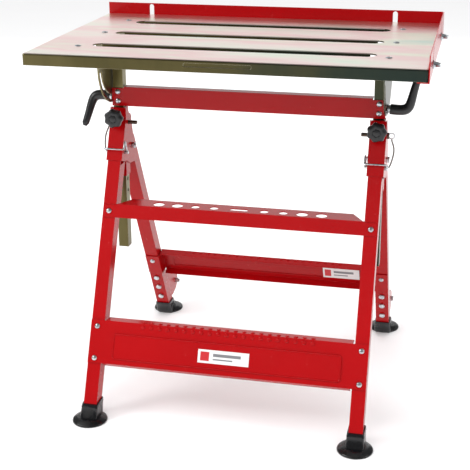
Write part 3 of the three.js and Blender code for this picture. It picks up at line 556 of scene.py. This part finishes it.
def star_knob():
    shape = bmesh.new()
    rim = bmesh.ops.create_circle(shape, radius=KNOB_RADIUS, segments=KNOB_LOBES * 12)["verts"]
    for vertex in rim:
        angle = math.atan2(vertex.co.y, vertex.co.x)
        vertex.co *= 1 + KNOB_LOBE_DEPTH * math.cos(KNOB_LOBES * angle)
    edges = shape.edges[:]
    scale, height = KNOB_LAYERS[0]
    bmesh.ops.scale(shape, vec=(scale, scale, 1), verts=rim)
    bmesh.ops.edgeloop_fill(shape, edges=edges)
    for next_scale, next_height in KNOB_LAYERS[1:]:
        grown = bmesh.ops.extrude_edge_only(shape, edges=edges)["geom"]
        ring = [item for item in grown if isinstance(item, bmesh.types.BMVert)]
        edges = [item for item in grown if isinstance(item, bmesh.types.BMEdge)]
        ratio = next_scale / scale
        bmesh.ops.scale(shape, vec=(ratio, ratio, 1), verts=ring)
        bmesh.ops.translate(shape, vec=(0, 0, (next_height - height) * MM), verts=ring)
        scale, height = next_scale, next_height
    bmesh.ops.edgeloop_fill(shape, edges=edges)
    return shape


for side in SIDES:
    low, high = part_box(f"star_knob_{side}")
    back = Vector((POST[side].x, low[1] + 16 * MM, (low[2] + high[2]) / 2))
    stem = turned([
        (0, -26.5 * MM),
        (4 * MM, -26.5 * MM),
        (4 * MM, -12 * MM),
        (8.6 * MM, -12 * MM),
        (9.5 * MM, -11 * MM),
        (9.5 * MM, -2 * MM),
        (10.5 * MM, 0.5 * MM),
        (0, 0.5 * MM),
    ])
    cap = turned([
        (0, 13.6 * MM),
        (7.4 * MM, 13.6 * MM),
        (7.2 * MM, 15.6 * MM),
        (4.2 * MM, 16.6 * MM),
        (0, 16.9 * MM),
    ])
    knob = placed(together(star_knob(), stem, cap), back, (0, -1, 0))
    new_piece(
        f"lobed_knob_{side}", knob, plastic, f"knob_{side}", "black_plastic", f"star_knob_{side}",
    )


CLAMP_HEIGHT = 627 * MM
# In mm, x out from the table's middle and height above the hub: hub, elbow (twice), grip's end.
LEVER_PATH = [(296, 0), (344, -4), (330, 2), (349, 67)]
LEVER_STATIONS = 30


def lever_point(t):
    """A point on the lever's middle line: a cubic from the hub to the grip's end."""
    weights = [(1 - t) ** 3, 3 * t * (1 - t) ** 2, 3 * t * t * (1 - t), t**3]
    x = sum(w * p[0] for w, p in zip(weights, LEVER_PATH))
    z = sum(w * p[1] for w, p in zip(weights, LEVER_PATH))
    return Vector((x * MM, 0, z * MM))


def lever_radius(t):
    """Thick at the hub and the elbow, tapering down the grip to a blunt end."""
    taper = 10.6 - 3.4 * max(0, t - 0.35) / 0.65
    end = math.sqrt(max(0, 1 - max(0, (t - 0.965) / 0.035) ** 2))
    return taper * (0.55 + 0.45 * end) * MM


def clamp_lever():
    shape = bmesh.new()
    rings = []
    for i in range(LEVER_STATIONS + 1):
        t = i / LEVER_STATIONS
        run = (lever_point(min(1, t + 0.01)) - lever_point(t - 0.01)).normalized()
        matrix = Matrix.Translation(lever_point(t)) @ run.to_track_quat("Z", "Y").to_matrix().to_4x4()
        ring = bmesh.ops.create_circle(shape, radius=lever_radius(t), segments=24, matrix=matrix)
        corners = set(ring["verts"])
        rings.append([edge for edge in shape.edges if set(edge.verts) <= corners])
    for first, second in zip(rings, rings[1:]):
        bmesh.ops.bridge_loops(shape, edges=first + second)
    bmesh.ops.edgeloop_fill(shape, edges=rings[0])
    bmesh.ops.edgeloop_fill(shape, edges=rings[-1])
    return shape


LEVER_BOSS_FACE = 291.3 * MM
LEVER_TURN = {"left": math.pi - 0.35, "right": 0}  # one grip down and a little forward, one up
for side in SIDES:
    hub = at(side, 0, 0, CLAMP_HEIGHT)
    lever = clamp_lever()
    mirror = Matrix.Diagonal((SIDES[side], 1, 1, 1))
    facing = mirror @ Matrix.Rotation(LEVER_TURN[side], 4, "X")
    bmesh.ops.transform(lever, matrix=Matrix.Translation(hub) @ facing, verts=lever.verts[:])
    lever_name = f"clamp_lever_{side}"
    new_piece(f"bent_{lever_name}", lever, plastic, lever_name, "black_plastic", lever_name)
    boss = turned([
        (0, 0),
        (9.6 * MM, 0),
        (9.6 * MM, 1.2 * MM),
        (8 * MM, 1.6 * MM),
        (8 * MM, 5.2 * MM),
        (0, 5.2 * MM),
    ])
    boss_place = at(side, LEVER_BOSS_FACE, 0, CLAMP_HEIGHT)
    placed(boss, boss_place, (SIDES[side], 0, 0))
    new_piece(f"lever_boss_{side}", boss, bright, lever_name, "bright_zinc")


# ---- Black rubber feet ----
# Each leg ends in a moulded rubber boot with a wide disc under it. The leg pushes into the
# boot's socket, whose lip is thickened; the disc's edge is rounded where it meets the floor.
rubber = new_finish("black_rubber")
grit = rubber.noise(420, 4)
scuff = rubber.between(rubber.noise(38, 5), 0.5, 0.72)
rubber.surface({
    "Base Color": rubber.mix(scuff * 0.3, (0.004, 0.004, 0.005, 1), (0.03, 0.028, 0.026, 1)),
    "Roughness": 0.22 + scuff * 0.22,
    "Normal": rubber.bump(grit, 0.25, 0.0004),
})


def boot(width, depth, height, lean):
    """A socket block with rounded corners, a flared root and a thicker lip, leaning by lean."""
    shape = bmesh.new()
    bmesh.ops.create_cube(shape, size=1)
    bmesh.ops.scale(shape, vec=(width, depth, height), verts=shape.verts[:])
    bmesh.ops.translate(shape, vec=(0, 0, height / 2), verts=shape.verts[:])
    upright = [e for e in shape.edges if abs(e.verts[0].co.z - e.verts[1].co.z) > height / 2]
    bmesh.ops.bevel(
        shape, geom=upright, offset=4 * MM, affect="EDGES", segments=4, profile=0.5, material=-1,
    )
    for level, grow in ((6 * MM, 1.10), (13 * MM, 1), (height - 7 * MM, 1), (height - 6 * MM, 1.03)):
        bmesh.ops.bisect_plane(
            shape,
            geom=shape.verts[:] + shape.edges[:] + shape.faces[:],
            plane_co=(0, 0, level),
            plane_no=(0, 0, 1),
        )
        band = [v for v in shape.verts if abs(v.co.z - level) < 1e-5]
        bmesh.ops.scale(shape, vec=(grow, grow, 1), verts=band)
    for vertex in shape.verts:
        vertex.co.y += vertex.co.z * lean
    return shape


FOOT_RADIUS = 36 * MM
FOOT_PROFILE = [
    (0, 0),
    (34.6 * MM, 0),
    (35.7 * MM, 0.6 * MM),
    (FOOT_RADIUS, 1.8 * MM),
    (35.4 * MM, 3.6 * MM),
    (33.6 * MM, 5.2 * MM),
    (30.5 * MM, 6.0 * MM),
    (29.6 * MM, 7.0 * MM),
    (24 * MM, 8.6 * MM),
    (21 * MM, 9.0 * MM),
    (0, 9.0 * MM),
]
# Boot sizes: width, depth, and how the leg's line runs back with height.
BOOTS = {
    "front": (33.8 * MM, 39.8 * MM, math.tan(FRONT_LEAN)),
    "rear": (36.2 * MM, 39.8 * MM, -REAR_SLOPE),
}
LEG_X = 275 * MM
LEG_HALF_DEPTH = 16.5 * MM
FOOT_CENTRE = {"front": -264 * MM, "rear": 321 * MM}
BOOT_HEIGHT = 34 * MM
for end, (width, depth, lean) in BOOTS.items():
    body = f"{end}_frame"
    for side in SIDES:
        node = f"{end}_foot_{side}"
        disc_place = at(side, LEG_X, FOOT_CENTRE[end], 0)
        disc = placed(turned(FOOT_PROFILE, 64), disc_place, (0, 0, 1))
        low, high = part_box(f"{end}_leg_{side}")
        leg_bottom = low[1] if end == "front" else high[1]
        socket_back = leg_bottom + LEG_HALF_DEPTH if end == "front" else leg_bottom - LEG_HALF_DEPTH
        sleeve = boot(width, depth, BOOT_HEIGHT, lean)
        base = Vector((disc_place.x, socket_back - 8 * MM * lean, 0.5 * MM))
        bmesh.ops.translate(sleeve, vec=base, verts=sleeve.verts[:])
        new_piece(f"rubber_{node}", together(disc, sleeve), rubber, body, "black_rubber", node)


# ---- Pins ----
# The height pin is a dark plated rod with a split ring for pulling. The lock pin is a bright
# rod under the rear leg's notched ear, with a spring wire round the front of the bracket.
dark = new_finish("dark_plated_steel")
brown = dark.noise(160, 4)
dark.surface({
    "Base Color": dark.mix(brown, (0.06, 0.045, 0.035, 1), (0.17, 0.13, 0.10, 1)),
    "Metallic": 1.0,
    "Roughness": 0.3 + brown * 0.2,
    "Normal": dark.bump(brown, 0.1, 0.0002),
})
HEIGHT_PIN = 571 * MM
LOCK_PIN = (-30 * MM, 512 * MM)
BRACKET_OUT = 292.1 * MM
BRACKET_IN = 257.9 * MM
WIRE_DIAMETER = 3.6 * MM


def pin(radius, head_radius, length, head_length):
    """A rod along Z with a chamfered end and a head on z = 0."""
    chamfer = 1 * MM
    return turned([
        (0, -length),
        (radius - chamfer, -length),
        (radius, chamfer - length),
        (radius, 0),
        (head_radius - 0.4 * MM, 0),
        (head_radius, 0.4 * MM),
        (head_radius, head_length - 0.6 * MM),
        (head_radius - 0.8 * MM, head_length),
        (0, head_length),
    ])


def smoothed(points, steps=8):
    """A finer line through the points, passing each one smoothly."""
    fine = []
    padded = [points[0], *points, points[-1]]
    for a, b, c, d in zip(padded, padded[1:], padded[2:], padded[3:]):
        for i in range(steps):
            t = i / steps
            fine.append(
                (b * 2 + (c - a) * t + (a * 2 - b * 5 + c * 4 - d) * t * t
                 + (b * 3 - a - c * 3 + d) * t**3) / 2
            )
    return [*fine, points[-1]]


for side in SIDES:
    sideways = (SIDES[side], 0, 0)
    height_rod = placed(
        pin(4 * MM, 6.5 * MM, 53 * MM, 4 * MM), at(side, BRACKET_OUT, 0, HEIGHT_PIN), sideways,
    )
    node = f"height_pin_{side}"
    new_piece(f"pulled_{node}", height_rod, dark, node, "dark_steel", node)
    ring_middle = at(side, BRACKET_OUT + 9 * MM, 0, HEIGHT_PIN)
    ring_points = [
        ring_middle + Vector((math.cos(a), 0, math.sin(a))) * 5.8 * MM
        for a in (math.tau * i / 28 for i in range(28))
    ]
    ring = curved_rod(f"pin_ring_{side}", ring_points, 2.2 * MM, bright, closed=True)
    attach(ring, node)

    y, z = LOCK_PIN
    lock_rod = placed(
        pin(3.6 * MM, 5.5 * MM, 42.5 * MM, 5.4 * MM), at(side, BRACKET_OUT + 0.8 * MM, y, z), sideways,
    )
    node = f"lock_pin_{side}"
    new_piece(f"snap_{node}", lock_rod, bright, node, "bright_zinc", node)
    outside, inside = BRACKET_OUT, BRACKET_IN
    wire_route = [
        at(side, outside + 4 * MM, y, z),
        at(side, outside + 4 * MM, y - 8 * MM, z + 4 * MM),
        at(side, outside + 4 * MM, y - 20 * MM, z + 11 * MM),
        at(side, outside - 1 * MM, y - 25 * MM, z + 13 * MM),
        at(side, (outside + inside) / 2, y - 25.5 * MM, z + 13 * MM),
        at(side, inside + 1 * MM, y - 25 * MM, z + 13 * MM),
        at(side, inside - 4 * MM, y - 22 * MM, z + 14 * MM),
        at(side, inside - 4.5 * MM, y - 12 * MM, z + 26 * MM),
        at(side, inside - 4.5 * MM, y - 7 * MM, z + 16 * MM),
        at(side, inside - 4.5 * MM, y, z),
    ]
    wire = curved_rod(f"lock_wire_{side}", smoothed(wire_route), WIRE_DIAMETER, bright)
    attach(wire, node)


# ---- Screws in the top and the shelf ----
# Six low socket screws hold the sheet top to its tilt plates, and one domed screw at each end
# holds the shelf's apron to a front leg.
SCREW_X = 303 * MM
SCREW_Y = 159 * MM
TOP_HEIGHT = 762 * MM
SCREW_PROFILE = [
    (0, -2.6 * MM),
    (3 * MM, -2.6 * MM),
    (3 * MM, 0),
    (6.4 * MM, 0),
    (6.3 * MM, 0.5 * MM),
    (5.2 * MM, 1.3 * MM),
    (2.8 * MM, 1.6 * MM),
    (2.5 * MM, 0.2 * MM),
    (0, 0.2 * MM),
]
for side in SIDES:
    for row, y in (("front", -SCREW_Y), ("middle", 0), ("back", SCREW_Y)):
        screw = placed(turned(SCREW_PROFILE), at(side, SCREW_X, y, TOP_HEIGHT), (0, 0, 1))
        new_piece(f"top_screw_{side}_{row}", screw, bright, "tabletop", "bright_zinc")
    shelf_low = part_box("shelf")[0][2]
    drop = middle_of(f"step_bolt_{side}_1").z - (shelf_low + 13 * MM)
    lean_back = Vector((0, -math.tan(FRONT_LEAN) * drop, -drop))
    head = outermost(f"step_bolt_{side}_1", FORWARD["front"]) - FORWARD["front"] * HEAD_TO_SHEET
    shelf_screw = placed(carriage_bolt(), head + lean_back, FORWARD["front"])
    new_piece(f"shelf_screw_{side}", shelf_screw, bright, "front_frame", "bright_zinc")


# ---- Pressed details of the two steps ----
# A row of pips is pressed along the upper edge of each step for grip, in its face and in the
# flange above. A rolled bead frames the panel that is pressed in the front step.
PIP_COUNT = 21
PIP_PITCH = 17.7 * MM
PIP_INSET = 7 * MM
PIP_PROFILE = [
    (0, -0.3 * MM),
    (4.6 * MM, -0.3 * MM),
    (4.4 * MM, 0.5 * MM),
    (3.6 * MM, 1.3 * MM),
    (2.2 * MM, 1.8 * MM),
    (0, 2.0 * MM),
]
STEP_SPLAY = 0.31


def step_frame(top_point, forward):
    """The matrix of a step's face: X along it, Y up the face and Z out of it."""
    along = Vector((1, 0, 0)) if forward.y < 0 else Vector((-1, 0, 0))
    up = forward.cross(along)
    turn = Matrix((along, up, forward)).transposed().to_4x4()
    return Matrix.Translation(top_point) @ turn


def pip_row():
    """Pips in a step's face and in the flange above it, along the edge where the two meet."""
    pips = []
    flange_turn = Matrix.Rotation(-math.pi / 2 + STEP_SPLAY, 4, "X")
    for i in range(PIP_COUNT):
        x = (i - (PIP_COUNT - 1) / 2) * PIP_PITCH
        face_pip = turned(PIP_PROFILE, 16)
        bmesh.ops.translate(face_pip, vec=(x, -PIP_INSET, 0), verts=face_pip.verts[:])
        flange_pip = turned(PIP_PROFILE, 16)
        move = Matrix.Translation((x, 0, 0)) @ flange_turn @ Matrix.Translation((0, PIP_INSET, 0))
        bmesh.ops.transform(flange_pip, matrix=move, verts=flange_pip.verts[:])
        pips += [face_pip, flange_pip]
    return together(*pips)


def panel_bead(half_width, top, bottom, radius, thickness):
    """A half-round bead round a rectangle with rounded corners, in the step's face."""
    corners = [
        (half_width - radius, top - radius, 0),
        (-half_width + radius, top - radius, 90),
        (-half_width + radius, bottom + radius, 180),
        (half_width - radius, bottom + radius, 270),
    ]
    points = []
    for x, y, start in corners:
        for i in range(7):
            angle = math.radians(start + i * 15)
            points.append(Vector((x + radius * math.cos(angle), y + radius * math.sin(angle), 0)))
    line = bpy.data.curves.new("bead", "CURVE")
    line.dimensions = "3D"
    line.bevel_depth = thickness
    line.bevel_resolution = 3
    spline = line.splines.new("POLY")
    spline.points.add(len(points) - 1)
    for knot, point in zip(spline.points, points):
        knot.co = (*point, 1)
    spline.use_cyclic_u = True
    holder = bpy.data.objects.new("bead", line)
    bpy.context.collection.objects.link(holder)
    made = bpy.data.meshes.new_from_object(holder)
    shape = bmesh.new()
    shape.from_mesh(made)
    bmesh.ops.remove_doubles(shape, verts=shape.verts[:], dist=1e-6)
    bpy.data.objects.remove(holder)
    return shape


# The front step's face meets its top flange at the highest point of its flat front.
bolt_face = outermost("step_bolt_right_1", FORWARD["front"]) - FORWARD["front"] * 3.3 * MM
UP_FACE = Vector((0, math.sin(FRONT_LEAN), math.cos(FRONT_LEAN)))
FRONT_STEP_TOP = 194 * MM
rise = (FRONT_STEP_TOP - bolt_face.z) / UP_FACE.z
front_top = bolt_face + UP_FACE * rise
front_top.x = MIDDLE.x
front_face = step_frame(front_top, FORWARD["front"])

tread = pip_row()
bmesh.ops.transform(tread, matrix=front_face, verts=tread.verts[:])
new_piece("front_step_tread", tread, red, "front_frame", "red_paint")
bead = panel_bead(236 * MM, -26 * MM, -76.7 * MM, 5 * MM, 1.3 * MM)
bmesh.ops.transform(bead, matrix=front_face @ Matrix.Translation((0, 0, 1 * MM)), verts=bead.verts[:])
new_piece("front_step_bead", bead, red, "front_frame", "red_paint")


# The rear step's face looks back and up; its flange runs forward between the rear legs.
REAR_STEP_TOP = 199 * MM
BACKWARD = Vector((0, math.cos(REAR_LEAN), math.sin(REAR_LEAN)))
rear_corner = outermost("rear_step", BACKWARD)
UP_REAR = Vector((0, -math.sin(REAR_LEAN), math.cos(REAR_LEAN)))
rear_top = rear_corner + UP_REAR * ((REAR_STEP_TOP - rear_corner.z) / UP_REAR.z)
rear_top.x = MIDDLE.x
rear_face = step_frame(rear_top, BACKWARD)
rear_tread = pip_row()
bmesh.ops.transform(rear_tread, matrix=rear_face, verts=rear_tread.verts[:])
new_piece("rear_step_tread", rear_tread, red, "rear_frame", "red_paint")


# ---- Labels ----
# Self-adhesive film stickers: white, with a plain red block and two grey rules on each.
LABEL_THICKNESS = 0.25 * MM


def label_finish(name):
    finish = new_finish(name)
    place = finish.node("ShaderNodeUVMap", {}, {})
    u = finish.node("ShaderNodeSeparateXYZ", {}, {0: place}, 0)
    v = finish.node("ShaderNodeSeparateXYZ", {}, {0: place}, 1)

    def band(value, low, high):
        edge = 0.004
        return finish.between(value, low - edge, low) * (1 - finish.between(value, high, high + edge))

    block = band(u, 0.05, 0.22) * band(v, 0.16, 0.84)
    upper_rule = band(u, 0.30, 0.84) * band(v, 0.52, 0.74)
    lower_rule = band(u, 0.30, 0.68) * band(v, 0.26, 0.36)
    print_wear = finish.noise(240, 4)
    white = finish.mix(print_wear, (0.72, 0.72, 0.71, 1), (0.82, 0.82, 0.81, 1))
    with_block = finish.mix(block, white, (0.55, 0.02, 0.025, 1))
    printed = finish.mix(upper_rule + lower_rule, with_block, (0.20, 0.20, 0.21, 1))
    finish.surface({
        "Base Color": printed,
        "Roughness": 0.3 + print_wear * 0.15,
        "Normal": finish.bump(print_wear, 0.05, 0.0002),
    })
    return finish


def label(name, width, height, matrix, body):
    shape = bmesh.new()
    bmesh.ops.create_grid(shape, x_segments=2, y_segments=2, size=0.5, calc_uvs=False)
    uv = shape.loops.layers.uv.new("UVMap")
    for face in shape.faces:
        for loop in face.loops:
            loop[uv].uv = (loop.vert.co.x + 0.5, loop.vert.co.y + 0.5)
    bmesh.ops.scale(shape, vec=(width, height, 1), verts=shape.verts[:])
    grown = bmesh.ops.extrude_face_region(shape, geom=shape.faces[:])["geom"]
    raised = [item for item in grown if isinstance(item, bmesh.types.BMVert)]
    bmesh.ops.translate(shape, vec=(0, 0, LABEL_THICKNESS), verts=raised)
    bmesh.ops.transform(shape, matrix=matrix, verts=shape.verts[:])
    new_piece(name, shape, label_finish(f"{name}_print"), body, "bright_zinc")


FRONT_LABEL = Vector((-2 * MM, -53 * MM, 1.45 * MM))
label("front_label", 106 * MM, 27 * MM, front_face @ Matrix.Translation(FRONT_LABEL), "front_frame")
# Stuck on the inside of the rear step's web, low on the right, where it is read from the front.
REAR_LABEL = Vector((177 * MM, 0, 0)) - UP_REAR * 35 * MM - BACKWARD * 3.9 * MM
rear_label = step_frame(rear_top + REAR_LABEL, -BACKWARD)
label("rear_label", 86 * MM, 34 * MM, rear_label, "rear_frame")
